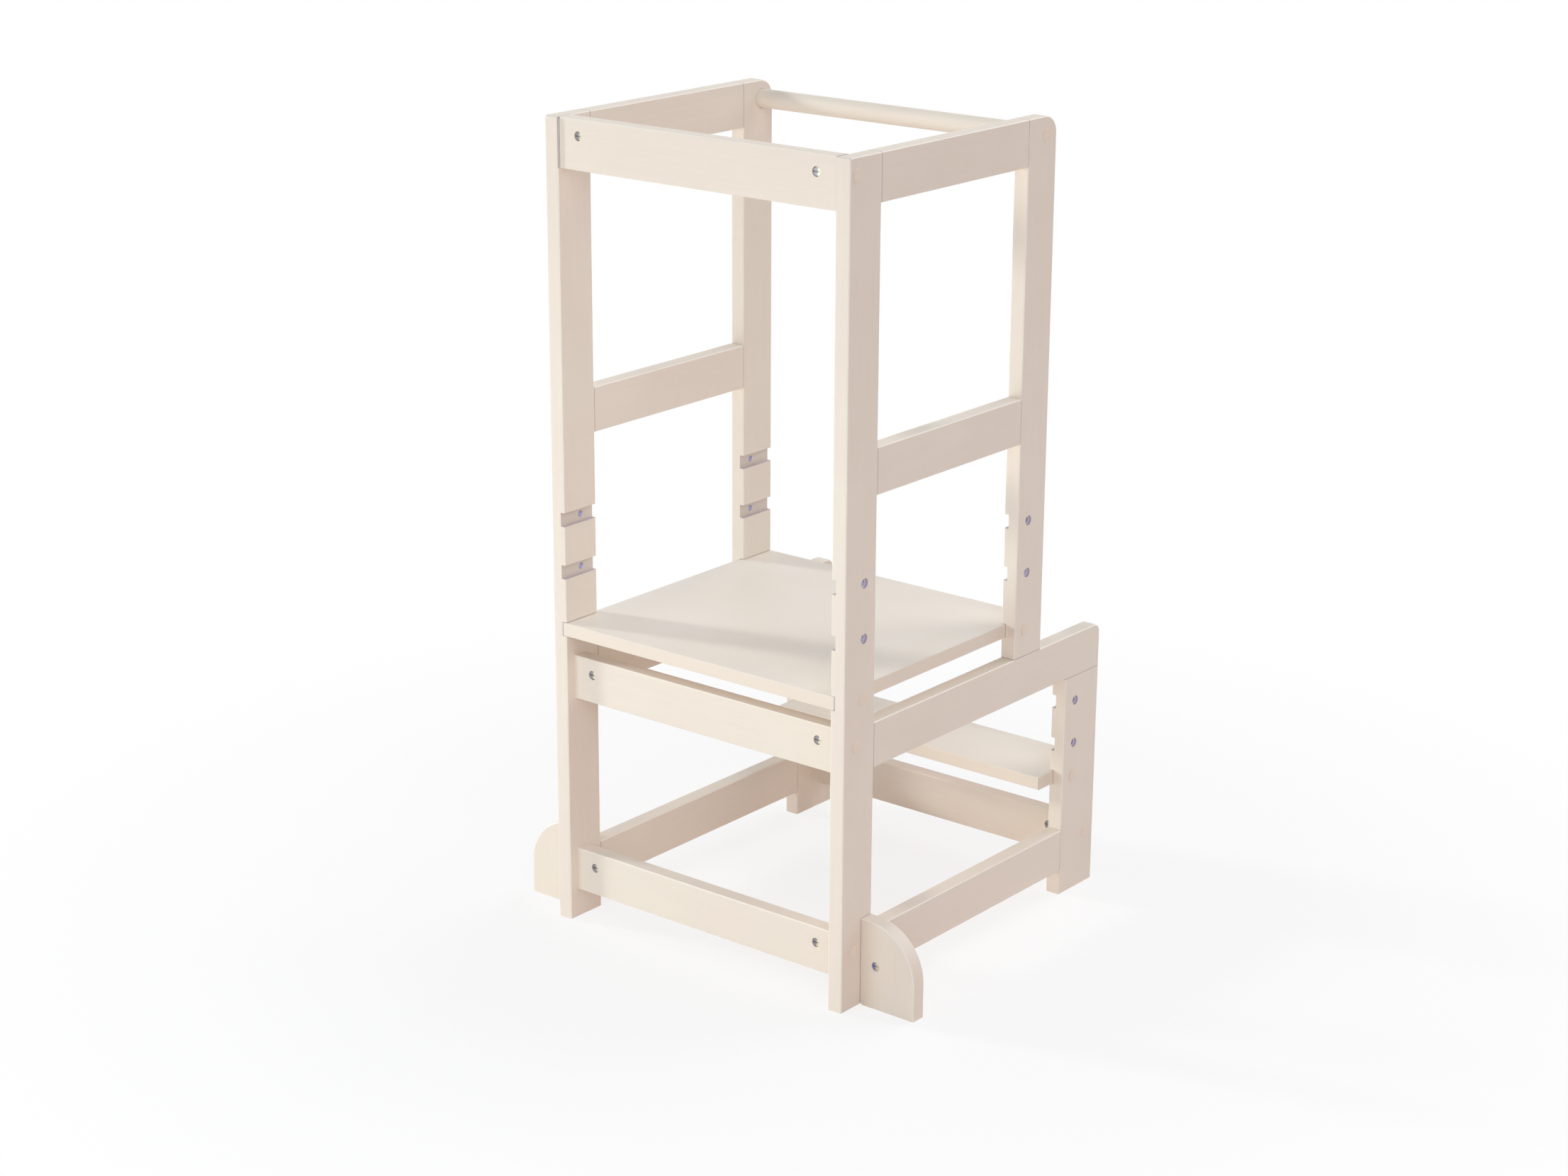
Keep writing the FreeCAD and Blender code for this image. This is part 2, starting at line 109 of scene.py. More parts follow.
# Shares, from 0 to 1.
FACING = 0.8                        # part of a normal, or its square, that picks a side
PATCH_SHARE = 0.6                   # of the warm tone, in the patches on beech
PANEL_PATCH_SHARE = 0.5             # of the beech's paint, in the patches on a panel
GRAIN_SHADE = 0.975                 # of the paint's tone, on a grain line
SPARK_SHADE = 0.96                  # of the plastic's tone, in its pits
RAY_SHARE = 0.8                     # of the fleck's tone, on a ray of the bare beech
GRIT_SHADE = 0.98                   # of the floor's tone, on its dark grains
SEAM_SHARE = 0.9                    # how much a hairline covers the paint
BOARD_SHADE_SHARE = 0.7              # and the painted shade beside the top board
FLOOR_WHITE = 0.78                  # plain white over the lit floor, at the stool
SHADOW_CORE = 0.25                  # part of the shadow's reach in which it doesn't fade
FORWARDS = -0.2                     # a face whose normal has less Y looks forwards

# A panel's patches and ripples against those of the beech.
PANEL_PATCH = 0.6
PANEL_PEEL = 0.8

# Values of the shaders.  A pair of roughnesses runs from the low to the high parts of
# the noise that varies it.
PAINT_IOR = 1.48
PLASTIC_IOR = 1.49
PAINT_ROUGHNESS = (0.40, 0.48)
PAINT_EDGE_ROUGHNESS = 0.34
PANEL_ROUGHNESS = (0.42, 0.50)
PANEL_EDGE_ROUGHNESS = 0.58
CAP_ROUGHNESS = 0.45
PLATE_ROUGHNESS = (0.20, 0.34)
BEECH_ROUGHNESS = 0.6

# Ranges that turn a texture or a normal into a share.
NOISE_WIDE = {"From Min": 0.3, "From Max": 0.7}
NOISE_NARROW = {"From Min": 0.35, "From Max": 0.65}
RAYS = {"From Min": 0.45, "From Max": 0.7}
SANDED_EDGE_HIGHLIGHT = {"From Min": 0.06, "From Max": 0.23}
PANEL_EDGE = {"From Min": 0.3, "From Max": 0.8, "To Min": 1.0, "To Max": 0.0}

# The soft box in front: its middle, the point that it faces, its width and height.
FRONT_BOX = ((-0.45, -1.75, 0.25), (0.0, -0.2, 0.4), 1.1, 0.45)
# The far lamps: azimuth round the stool from straight in front, elevation, and the
# angle that each spans, in degrees.
LAMP_PLACES = {
    "key": (-74, 14, 7),
    "side": (50, 24, 50),
    "top": (0, 80, 60),
    "back": (165, 35, 50),
}
SENSOR_WIDTH = 36.0                 # of the camera, in millimetres
VIEW_REACH = 60.0                   # of the camera, in metres
CEILING = 0.8                       # sine of the elevation where the ceiling's light is full
FLOOR_CELLS = 8                     # along each side of the floor


# ---- colours ---------------------------------------------------------------
def linear(code):
    """An sRGB hex value as the linear colour that the shaders work with."""
    steps = np.array([int(code[i:i + 2], 16) for i in (0, 2, 4)]) / 255
    low, high = steps / 12.92, ((steps + 0.055) / 1.055) ** 2.4
    return tuple(float(v) for v in np.where(steps <= 0.04045, low, high))


def opaque(colour):
    """A colour with its alpha, as a colour socket takes it."""
    return (*colour, 1.0)


# ---- nodes -----------------------------------------------------------------
def add_node(tree, kind, inputs=None, **settings):
    """Adds one node with its settings, and links or sets each of its inputs."""
    node = tree.nodes.new(kind)
    for name, value in settings.items():
        setattr(node, name, value)
    for key, value in (inputs or {}).items():
        socket = node.inputs[key]
        if isinstance(value, bpy.types.NodeSocket):
            tree.links.new(value, socket)
        else:
            socket.default_value = value
    return node


def empty_tree(owner):
    """The node tree of a new material or world, with nothing in it."""
    owner.use_nodes = True
    owner.node_tree.nodes.clear()
    return owner.node_tree


def end_material(tree, **inputs):
    """Ends a material with one Principled shader, its inputs named with _ for a space."""
    shader = add_node(tree, "ShaderNodeBsdfPrincipled", {
        name.replace("_", " "): value for name, value in inputs.items()})
    add_node(tree, "ShaderNodeOutputMaterial", {"Surface": shader.outputs[0]})


def surface_parts(tree):
    """The shaded point, and the X, Y and Z of the point and of the surface's normal."""
    point = add_node(tree, "ShaderNodeTexCoord").outputs["Object"]
    normal = add_node(tree, "ShaderNodeNewGeometry").outputs["Normal"]
    parts = [add_node(tree, "ShaderNodeSeparateXYZ", {0: vector}) for vector in (point, normal)]
    return point, parts[0].outputs, parts[1].outputs


def seen_rays(tree):
    """1 for camera, glossy and transmission rays, and 0 for all others."""
    rays = add_node(tree, "ShaderNodeLightPath").outputs
    seen = rays["Is Camera Ray"]
    for name in ("Is Glossy Ray", "Is Transmission Ray"):
        seen = add_node(tree, "ShaderNodeMath", {
            0: seen, 1: rays[name]}, operation="MAXIMUM").outputs[0]
    return seen


# ---- settings --------------------------------------------------------------
class StoolFinish(bpy.types.PropertyGroup):
    """Colours and surface sizes of the paint, plate and wood."""
    paint: FloatVectorProperty(
        name="Paint", description="Cream satin paint on frames, boards and feet",
        subtype="COLOR", size=3, min=0, max=1, default=linear("F1E7D8"))
    paint_warm: FloatVectorProperty(
        name="Paint, warm patches", description="Slightly rosier tone where the film is thicker",
        subtype="COLOR", size=3, min=0, max=1, default=linear("EFE1D4"))
    # The paler edge tone is a painted highlight along the rounded edges.
    paint_edge_highlight: FloatVectorProperty(
        name="Paint, edges", description="Paler tone along the sanded edges",
        subtype="COLOR", size=3, min=0, max=1, default=linear("FBF4E8"))
    # The seam colour is a glued joint's hairline, and also painted shade beside the top board and
    # at the panels' ends.
    seam: FloatVectorProperty(
        name="Seam", description="Hairline where two glued pieces meet",
        subtype="COLOR", size=3, min=0, max=1, default=linear("9A93A0"))
    # The lilac bore tone is painted shade on the walls of the open bolt holes.
    bore_shade: FloatVectorProperty(
        name="Bore", description="Thin lilac primer on the walls of the open bolt holes",
        subtype="COLOR", size=3, min=0, max=1, default=linear("C2BDD8"))
    # The groove floor and lip tones are painted shade in the recess of each groove.
    groove: FloatVectorProperty(
        name="Groove", description="Thinner paint on the floors of the routed grooves",
        subtype="COLOR", size=3, min=0, max=1, default=linear("E3D7CA"))
    groove_lip_shade: FloatVectorProperty(
        name="Groove lips", description="Primer on the upper and lower lips of the grooves",
        subtype="COLOR", size=3, min=0, max=1, default=linear("CABCC4"))
    panel: FloatVectorProperty(
        name="Panel", description="Satin paint on the platform and the step tread",
        subtype="COLOR", size=3, min=0, max=1, default=linear("F0E8DD"))
    panel_edge: FloatVectorProperty(
        name="Panel, edges", description="Tone of the sawn and filled panel edges",
        subtype="COLOR", size=3, min=0, max=1, default=linear("EFE2D2"))
    cap: FloatVectorProperty(
        name="Cover cap", description="Moulded plastic of the cover caps",
        subtype="COLOR", size=3, min=0, max=1, default=linear("F3E3D2"))
    # The grey-violet and blue plate tones are partly a painted reflection, darker than zinc.
    plate: FloatVectorProperty(
        name="Zinc plate", description="Grey-violet passivated zinc on nuts, bolts and screws",
        subtype="COLOR", size=3, min=0, max=1, default=linear("96939A"))
    plate_blue: FloatVectorProperty(
        name="Zinc plate, blue", description="Bluer passivation on the feet's nuts and bolts",
        subtype="COLOR", size=3, min=0, max=1, default=linear("8890CC"))
    # The straw tint on one side of each nut is a painted highlight, partly a passivation tint.
    plate_straw_highlight: FloatVectorProperty(
        name="Zinc plate, straw",
        description="Bright straw tint where the passivation drained off",
        subtype="COLOR", size=3, min=0, max=1, default=linear("E2DEC0"))
    wood: FloatVectorProperty(
        name="Beech", description="Bare beech of the dowels",
        subtype="COLOR", size=3, min=0, max=1, default=linear("D9B78F"))
    wood_fleck: FloatVectorProperty(
        name="Beech flecks", description="Darker rays in the beech",
        subtype="COLOR", size=3, min=0, max=1, default=linear("B98F63"))
    patch_size: FloatProperty(
        name="Patch size", description="Width of the faint tone patches in the paint",
        unit="LENGTH", default=0.14)
    peel_size: FloatProperty(
        name="Orange peel", description="Width of one ripple of the sprayed film",
        unit="LENGTH", default=0.0018)
    peel_height: FloatProperty(
        name="Orange peel height", description="Height of the ripples of the sprayed film",
        unit="LENGTH", default=0.000012)
    grain_width: FloatProperty(
        name="Grain width", description="Spacing of the grain lines that show through the paint",
        unit="LENGTH", default=0.0022)
    grain_length: FloatProperty(
        name="Grain length", description="Length of the grain lines that show through the paint",
        unit="LENGTH", default=0.09)
    grain_height: FloatProperty(
        name="Grain height", description="Height of the grain lines under the paint",
        unit="LENGTH", default=0.00002)
    # The seam width also sets the painted shade at the panels' ends.
    seam_and_shade_width: FloatProperty(
        name="Seam width", description="Width of the dark hairline at a glued joint",
        unit="LENGTH", default=0.0009)
    # The board's dark end line is a joint line with painted shade where it meets a post.
    board_joint_shade_width: FloatProperty(
        name="Board gap", description="Width of the dark line where a board meets a post",
        unit="LENGTH", default=0.0008)
    # The bore radius bounds the painted shade round an open bolt hole.
    bore_radius: FloatProperty(
        name="Bore radius", description="Radius round an open bolt hole that is left in primer",
        unit="LENGTH", default=0.0058)


class StoolFittings(bpy.types.PropertyGroup):
    """Sizes of the cover caps."""
    cap_diameter: FloatProperty(
        name="Cap diameter", description="Outer diameter of a cover cap",
        unit="LENGTH", default=0.014)
    cap_height: FloatProperty(
        name="Cap height", description="How far a cap's middle stands off the wood",
        unit="LENGTH", default=0.0008)
    cap_crown: FloatProperty(
        name="Cap crown", description="How far a cap's face falls from its middle to its rim",
        unit="LENGTH", default=0.0002)
    cap_rim: FloatProperty(
        name="Cap rim radius", description="Rounding of a cap's rim",
        unit="LENGTH", default=0.00028)
    peg_diameter: FloatProperty(
        name="Peg diameter", description="Peg that grips the socket of the bolt",
        unit="LENGTH", default=0.0036)
    peg_length: FloatProperty(
        name="Peg length", description="How far the peg reaches below the wood's face",
        unit="LENGTH", default=0.0021)


class StoolStudio(bpy.types.PropertyGroup):
    """Camera, lamps and floor."""
    azimuth: FloatProperty(
        name="Azimuth", description="Camera's turn round the stool from straight in front",
        subtype="ANGLE", default=math.radians(38.796))
    elevation: FloatProperty(
        name="Elevation", description="Camera's angle above the horizon",
        subtype="ANGLE", default=math.radians(17.860))
    roll: FloatProperty(
        name="Roll", description="Camera's turn round its own axis",
        subtype="ANGLE", default=math.radians(-0.287))
    camera_place: FloatVectorProperty(
        name="Camera place", description="Where the camera stands",
        subtype="XYZ", unit="LENGTH", size=3, default=(1.9995, -2.5741, 1.4183))
    lens: FloatProperty(
        name="Lens", description="Focal length on a 36 mm sensor, in millimetres",
        default=71.18)
    key_strength: FloatProperty(
        name="Key lamp", description="Strength of the low lamp from the left", default=1.9)
    key_colour: FloatVectorProperty(
        name="Key colour", description="Colour of the low lamp from the left",
        subtype="COLOR", size=3, min=0, max=1, default=linear("FDFFFF"))
    front_power: FloatProperty(
        name="Front box", description="Power of the low soft box in front", unit="POWER",
        default=8.2)
    front_colour: FloatVectorProperty(
        name="Front colour", description="Colour of the low soft box in front",
        subtype="COLOR", size=3, min=0, max=1, default=linear("E9FEFF"))
    side_strength: FloatProperty(
        name="Side lamp", description="Strength of the soft box on the right", default=0.92)
    side_colour: FloatVectorProperty(
        name="Side colour", description="Colour of the soft box on the right",
        subtype="COLOR", size=3, min=0, max=1, default=linear("FBFBFF"))
    top_strength: FloatProperty(
        name="Top lamp", description="Strength of the lamp from above", default=0.485)
    top_colour: FloatVectorProperty(
        name="Top colour", description="Colour of the lamp from above",
        subtype="COLOR", size=3, min=0, max=1, default=linear("FAFEFF"))
    back_strength: FloatProperty(
        name="Back lamp", description="Strength of the soft box behind", default=1.44)
    back_colour: FloatVectorProperty(
        name="Back colour", description="Colour of the soft box behind",
        subtype="COLOR", size=3, min=0, max=1, default=linear("FFFCFC"))
    horizon: FloatVectorProperty(
        name="Horizon light", description="Light of the room near the horizon",
        subtype="COLOR", size=3, min=0, max=1, default=linear("727882"))
    zenith: FloatVectorProperty(
        name="Ceiling light", description="Light of the room from above",
        subtype="COLOR", size=3, min=0, max=1, default=linear("60666E"))
    floor: FloatVectorProperty(
        name="Floor", description="Colour of the studio floor in its light on the stool",
        subtype="COLOR", size=3, min=0, max=1, default=linear("EBD6CE"))
    floor_seen: FloatVectorProperty(
        name="Floor, seen", description="Colour of the studio floor where the camera sees it",
        subtype="COLOR", size=3, min=0, max=1, default=linear("F8F6F5"))
    floor_reach: FloatProperty(
        name="Floor reach", description="Half the width of the studio floor",
        unit="LENGTH", default=14.0)
    shadow_reach: FloatProperty(
        name="Shadow reach", description="Distance from the stool at which its shadow ends",
        unit="LENGTH", default=1.2)


# ---- surfaces --------------------------------------------------------------
def mesh_piece(name, points, quads, triangles, material):
    """A smoothly shaded mesh object at the origin, from arrays of points and corners."""
    corners = np.concatenate([quads.ravel(), triangles.ravel()])
    sizes = np.repeat([4, 3], [len(quads), len(triangles)])
    mesh = bpy.data.meshes.new(name)
    mesh.vertices.add(len(points))
    mesh.vertices.foreach_set("co", points.ravel())
    mesh.loops.add(len(corners))
    mesh.loops.foreach_set("vertex_index", corners)
    mesh.polygons.add(len(sizes))
    mesh.polygons.foreach_set("loop_start", np.cumsum(sizes) - sizes)
    mesh.polygons.foreach_set("use_smooth", np.ones(len(sizes), bool))
    mesh.materials.append(material)
    mesh.update(calc_edges=True)
    mesh.validate()
    piece = bpy.data.objects.new(name, mesh)
    bpy.context.scene.collection.objects.link(piece)
    return piece


def revolved(profile, places, axes, segments=64):
    """A profile (radius, height) turned round an axis, once at each place.

    Point (i, j) of a copy is place + height[i] * axis
    + radius[i] * (cos a * side + sin a * up), with a = 2 pi j / segments and side
    across up and the axis.  The first and last profile points lie on the axis and
    are one vertex each, so that both poles are closed.
    """
    copies = len(places)
    radius, height = profile[1:-1].T
    rows = len(radius)
    angle = 2 * np.pi * np.arange(segments) / segments
    side = np.cross(UP, axes)
    ring = np.cos(angle)[:, None] * side[:, None] + np.sin(angle)[:, None] * UP
    body = radius[:, None, None] * ring[:, None] + height[:, None, None] * axes[:, None, None]
    poles = profile[[0, -1], 1][:, None] * axes[:, None]
    points = np.concatenate([body.reshape(copies, -1, 3), poles], 1) + places[:, None]

    turn = np.arange(segments)
    after = (turn + 1) % segments
    row = np.arange(rows - 1)[:, None] * segments
    quads = np.stack([row + turn, row + after, row + segments + after, row + segments + turn], -1)
    first, last, end = rows * segments, rows * segments + 1, (rows - 1) * segments
    triangles = np.concatenate([
        np.stack([np.full(segments, first), after, turn], -1),
        np.stack([np.full(segments, last), end + turn, end + after], -1)])
    shift = np.arange(copies)[:, None, None] * points.shape[1]
    return (points.reshape(-1, 3), (quads.reshape(-1, 4) + shift).reshape(-1, 4),
            (triangles + shift).reshape(-1, 3))


def arc(centre, radius, start, stop, steps):
    """Points (radius, height) on an arc of a profile, angles in degrees."""
    angle = np.radians(np.linspace(start, stop, steps))
    return np.stack([centre[0] + radius * np.cos(angle), centre[1] + radius * np.sin(angle)], 1)


def cap_profile(sizes):
    """A cap from its peg's tip to the middle of its face.

    The face falls from the middle as the square of the radius, and its rim and the
    foot of the rim are arcs.
    """
    outer, peg, rim = sizes.cap_diameter / 2, sizes.peg_diameter / 2, sizes.cap_rim
    low = sizes.cap_height - sizes.cap_crown
    tip_radius, tip_depth = 0.8 * peg, 0.85 * sizes.peg_length
    face_radius = np.linspace(outer - rim, 0, 12)
    face_height = sizes.cap_height - sizes.cap_crown * (face_radius / (outer - rim)) ** 2
    return np.concatenate([
        [(0, -sizes.peg_length), (tip_radius, -sizes.peg_length), (peg, -tip_depth),
         (peg, 0.0), (outer - 2 * CAP_FOOT, 0.0)],
        arc((outer - CAP_FOOT, CAP_FOOT), CAP_FOOT, -90, 0, 4),
        arc((outer - rim, low - rim), rim, 0, 90, 7)[:-1],
        np.stack([face_radius, face_height], 1),
    ])


# ---- finishes --------------------------------------------------------------
def joint_lines(tree, tone, place, seams, width, colour):
    """Draws a hairline over the tone along each joint plane (axis, value)."""
    for axis, value in seams:
        gap = add_node(tree, "ShaderNodeMath", {
            0: place[axis], 1: -value}, operation="ADD").outputs[0]
        gap = add_node(tree, "ShaderNodeMath", {0: gap}, operation="ABSOLUTE").outputs[0]
        share = add_node(tree, "ShaderNodeMapRange", {
            "Value": gap, "From Min": width / 2, "From Max": width,
            "To Min": SEAM_SHARE, "To Max": 0.0}, interpolation_type="SMOOTHSTEP").outputs[0]
        tone = add_node(tree, "ShaderNodeMix", {
            0: share, 6: tone, 7: opaque(colour)}, data_type="RGBA").outputs[2]
    return tone


def groove_painted_shade(tree, tone, depth, level, normal, finish):
    """Draws painted shade on the grooves' floors and lips over the tone.

    It lies between the inner face and the groove's floor, by distance from the
    stool's middle plane, on the faces that look along X or Z.
    """
    low, high = INNER_X + GROOVE_LIP, INNER_X + GROOVE_DEPTH + GROOVE_SLACK
    layer = add_node(tree, "ShaderNodeMath", {
        0: depth, 1: (low + high) / 2, 2: (high - low) / 2}, operation="COMPARE").outputs[0]
    layer = add_node(tree, "ShaderNodeMath", {
        0: layer, 1: level}, operation="MULTIPLY").outputs[0]
    for axis, colour in (("X", finish.groove), ("Z", finish.groove_lip_shade)):
        square = add_node(tree, "ShaderNodeMath", {
            0: normal[axis], 1: normal[axis]}, operation="MULTIPLY").outputs[0]
        share = add_node(tree, "ShaderNodeMath", {
            0: square, 1: FACING}, operation="GREATER_THAN").outputs[0]
        share = add_node(tree, "ShaderNodeMath", {
            0: share, 1: layer}, operation="MULTIPLY").outputs[0]
        tone = add_node(tree, "ShaderNodeMix", {
            0: share, 6: tone, 7: opaque(colour)}, data_type="RGBA").outputs[2]
    return tone


def board_shade_line(tree, tone, depth, place, normal, low_z, colour):
    """Draws painted shade as a dark line on a front post's inner edge, beside the top board's
    end.

    It is on the faces that look forwards, above the board's lower edge.
    """
    forwards = add_node(tree, "ShaderNodeMath", {
        0: normal["Y"], 1: FORWARDS}, operation="LESS_THAN").outputs[0]
    near = add_node(tree, "ShaderNodeMath", {
        0: depth, 1: INNER_X + BOARD_SHADE_LINE / 2, 2: BOARD_SHADE_LINE / 2}, operation="COMPARE").outputs[0]
    above = add_node(tree, "ShaderNodeMath", {
        0: place["Z"], 1: low_z}, operation="GREATER_THAN").outputs[0]
    share = BOARD_SHADE_SHARE
    for limit in (forwards, near, above):
        share = add_node(tree, "ShaderNodeMath", {
            0: share, 1: limit}, operation="MULTIPLY").outputs[0]
    return add_node(tree, "ShaderNodeMix", {
        0: share, 6: tone, 7: opaque(colour)}, data_type="RGBA").outputs[2]


def bore_painted_shade(tree, tone, depth, level, place, side_on, finish):
    """Draws painted shade on the walls of the open bolt holes over the tone.

    It lies between the groove's floor and the outer face, near each line of holes,
    on the faces that don't look along X.
    """
    low, high = INNER_X + GROOVE_DEPTH + BORE_RIM, OUTER_X - BORE_RIM
    inside = add_node(tree, "ShaderNodeMath", {
        0: depth, 1: (low + high) / 2, 2: (high - low) / 2}, operation="COMPARE").outputs[0]
    for limit in (level, side_on):
        inside = add_node(tree, "ShaderNodeMath", {
            0: inside, 1: limit}, operation="MULTIPLY").outputs[0]
    for value in BORE_LINES:
        near = add_node(tree, "ShaderNodeMath", {
            0: place["Y"], 1: value, 2: finish.bore_radius}, operation="COMPARE").outputs[0]
        share = add_node(tree, "ShaderNodeMath", {
            0: inside, 1: near}, operation="MULTIPLY").outputs[0]
        tone = add_node(tree, "ShaderNodeMix", {
            0: share, 6: tone, 7: opaque(finish.bore_shade)}, data_type="RGBA").outputs[2]
    return tone


def painted_beech(name, finish, grain_axis, plate_axis, seams=(), seam_and_shade_width=None,
                  bores=False, board_shade_low_z=None):
    """Satin water-based paint, sprayed on sanded beech.

    The eye sees a soft sheen with shallow orange peel, faint grain lines along each
    member, tone patches a hand wide, and smoother paint on the sanded edges, paler
    there as a painted highlight.
    """
    material = bpy.data.materials.new(name)
    tree = empty_tree(material)
    point, place, normal = surface_parts(tree)

    patches = add_node(tree, "ShaderNodeTexNoise", {
        "Vector": point, "Scale": 1 / finish.patch_size,
        "Detail": 2.0, "Roughness": 0.5}).outputs[0]
    share = add_node(tree, "ShaderNodeMapRange", {
        "Value": patches, **NOISE_NARROW, "To Min": 0.0, "To Max": PATCH_SHARE}).outputs[0]
    tone = add_node(tree, "ShaderNodeMix", {
        0: share, 6: opaque(finish.paint), 7: opaque(finish.paint_warm)},
        data_type="RGBA").outputs[2]

    # Grain lines, stretched along the member.
    stretch = [1 / finish.grain_width] * 3
    stretch["XYZ".index(grain_axis)] = 1 / finish.grain_length
    along = add_node(tree, "ShaderNodeMapping", {"Vector": point, "Scale": stretch}).outputs[0]
    grain = add_node(tree, "ShaderNodeTexNoise", {
        "Vector": along, "Scale": 1.0, "Detail": 3.0, "Roughness": 0.6}).outputs[0]
    dark = add_node(tree, "ShaderNodeMapRange", {
        "Value": grain, **NOISE_WIDE, "To Min": GRAIN_SHADE, "To Max": 1.0}).outputs[0]
    tone = add_node(tree, "ShaderNodeMix", {
        0: 1.0, 6: tone, 7: dark}, data_type="RGBA", blend_type="MULTIPLY").outputs[2]

    # Sanded edges, paler as a painted highlight. n^2 (1 - n^2) is 0 on the faces
    # and 1/4 half-way round an edge.
    square = add_node(tree, "ShaderNodeMath", {
        0: normal[plate_axis], 1: normal[plate_axis]}, operation="MULTIPLY").outputs[0]
    side_on = add_node(tree, "ShaderNodeMath", {
        0: 1.0, 1: square}, operation="SUBTRACT").outputs[0]
    edge = add_node(tree, "ShaderNodeMath", {
        0: square, 1: side_on}, operation="MULTIPLY").outputs[0]
    edge = add_node(tree, "ShaderNodeMapRange", {
        "Value": edge, **SANDED_EDGE_HIGHLIGHT, "To Min": 0.0, "To Max": 1.0}).outputs[0]
    tone = add_node(tree, "ShaderNodeMix", {
        0: edge, 6: tone, 7: opaque(finish.paint_edge_highlight)}, data_type="RGBA").outputs[2]

    tone = joint_lines(tree, tone, place, seams, seam_and_shade_width or finish.seam_and_shade_width, finish.seam)
    # Painted shade on the grooves, in the open bolt holes and beside the top board.
    if bores:
        depth = add_node(tree, "ShaderNodeMath", {0: place["X"]}, operation="ABSOLUTE").outputs[0]
        low, high = BORE_LEVELS
        level = add_node(tree, "ShaderNodeMath", {
            0: place["Z"], 1: (low + high) / 2, 2: (high - low) / 2},
            operation="COMPARE").outputs[0]
        tone = groove_painted_shade(tree, tone, depth, level, normal, finish)
        if board_shade_low_z:
            tone = board_shade_line(tree, tone, depth, place, normal, board_shade_low_z, finish.seam)
        tone = bore_painted_shade(tree, tone, depth, level, place, side_on, finish)

    peel = add_node(tree, "ShaderNodeTexNoise", {
        "Vector": point, "Scale": 1 / finish.peel_size, "Detail": 1.0, "Roughness": 0.4})
    film = add_node(tree, "ShaderNodeBump", {
        "Height": peel.outputs[0], "Distance": finish.peel_height, "Strength": 1.0})
    lines = add_node(tree, "ShaderNodeBump", {
        "Height": grain, "Distance": finish.grain_height, "Strength": 1.0,
        "Normal": film.outputs[0]}).outputs[0]
    sheen = add_node(tree, "ShaderNodeMapRange", {
        "Value": patches, **NOISE_WIDE,
        "To Min": PAINT_ROUGHNESS[0], "To Max": PAINT_ROUGHNESS[1]}).outputs[0]
    rough = add_node(tree, "ShaderNodeMix", {
        0: edge, 2: sheen, 3: PAINT_EDGE_ROUGHNESS}, data_type="FLOAT").outputs[0]
    end_material(tree, Base_Color=tone, Roughness=rough, Normal=lines, IOR=PAINT_IOR)
    return material


def painted_panel(name, finish):
    """Satin paint, rolled and sprayed on medium-density fibreboard.

    It has no grain: the eye sees a flat, slightly powdery sheen, low waves a few
    centimetres wide, fine film ripples, and thirstier, duller edges.
    """
    material = bpy.data.materials.new(name)
    tree = empty_tree(material)
    point, place, normal = surface_parts(tree)

    patches = add_node(tree, "ShaderNodeTexNoise", {
        "Vector": point, "Scale": 1 / (finish.patch_size * PANEL_PATCH),
        "Detail": 2.0, "Roughness": 0.5}).outputs[0]
    share = add_node(tree, "ShaderNodeMapRange", {
        "Value": patches, **NOISE_NARROW, "To Min": 0.0, "To Max": PANEL_PATCH_SHARE}).outputs[0]
    tone = add_node(tree, "ShaderNodeMix", {
        0: share, 6: opaque(finish.panel), 7: opaque(finish.paint)},
        data_type="RGBA").outputs[2]
    flat = add_node(tree, "ShaderNodeMath", {0: normal["Z"]}, operation="ABSOLUTE").outputs[0]
    edge = add_node(tree, "ShaderNodeMapRange", {
        "Value": flat, **PANEL_EDGE}).outputs[0]
    tone = add_node(tree, "ShaderNodeMix", {
        0: edge, 6: tone, 7: opaque(finish.panel_edge)}, data_type="RGBA").outputs[2]

    # Painted shade in the gap between each end and the bottom of its groove, on the long edges.
    depth = add_node(tree, "ShaderNodeMath", {0: place["X"]}, operation="ABSOLUTE").outputs[0]
    gap = add_node(tree, "ShaderNodeMapRange", {
        "Value": depth, "From Min": PANEL_END_X - finish.seam_and_shade_width,
        "From Max": PANEL_END_X - finish.seam_and_shade_width / 3,
        "To Min": 0.0, "To Max": SEAM_SHARE}).outputs[0]
    long_edge = add_node(tree, "ShaderNodeMath", {
        0: normal["Y"]}, operation="ABSOLUTE").outputs[0]
    long_edge = add_node(tree, "ShaderNodeMath", {
        0: long_edge, 1: FACING}, operation="GREATER_THAN").outputs[0]
    gap = add_node(tree, "ShaderNodeMath", {
        0: gap, 1: long_edge}, operation="MULTIPLY").outputs[0]
    tone = add_node(tree, "ShaderNodeMix", {
        0: gap, 6: tone, 7: opaque(finish.seam)}, data_type="RGBA").outputs[2]

    peel = add_node(tree, "ShaderNodeTexNoise", {
        "Vector": point, "Scale": 1 / (finish.peel_size * PANEL_PEEL),
        "Detail": 1.5, "Roughness": 0.5})
    film = add_node(tree, "ShaderNodeBump", {
        "Height": peel.outputs[0], "Distance": finish.peel_height, "Strength": 1.0}).outputs[0]
    sheen = add_node(tree, "ShaderNodeMapRange", {
        "Value": patches, **NOISE_WIDE,
        "To Min": PANEL_ROUGHNESS[0], "To Max": PANEL_ROUGHNESS[1]}).outputs[0]
    rough = add_node(tree, "ShaderNodeMix", {
        0: edge, 2: sheen, 3: PANEL_EDGE_ROUGHNESS}, data_type="FLOAT").outputs[0]
    end_material(tree, Base_Color=tone, Roughness=rough, Normal=film, IOR=PAINT_IOR)
    return material


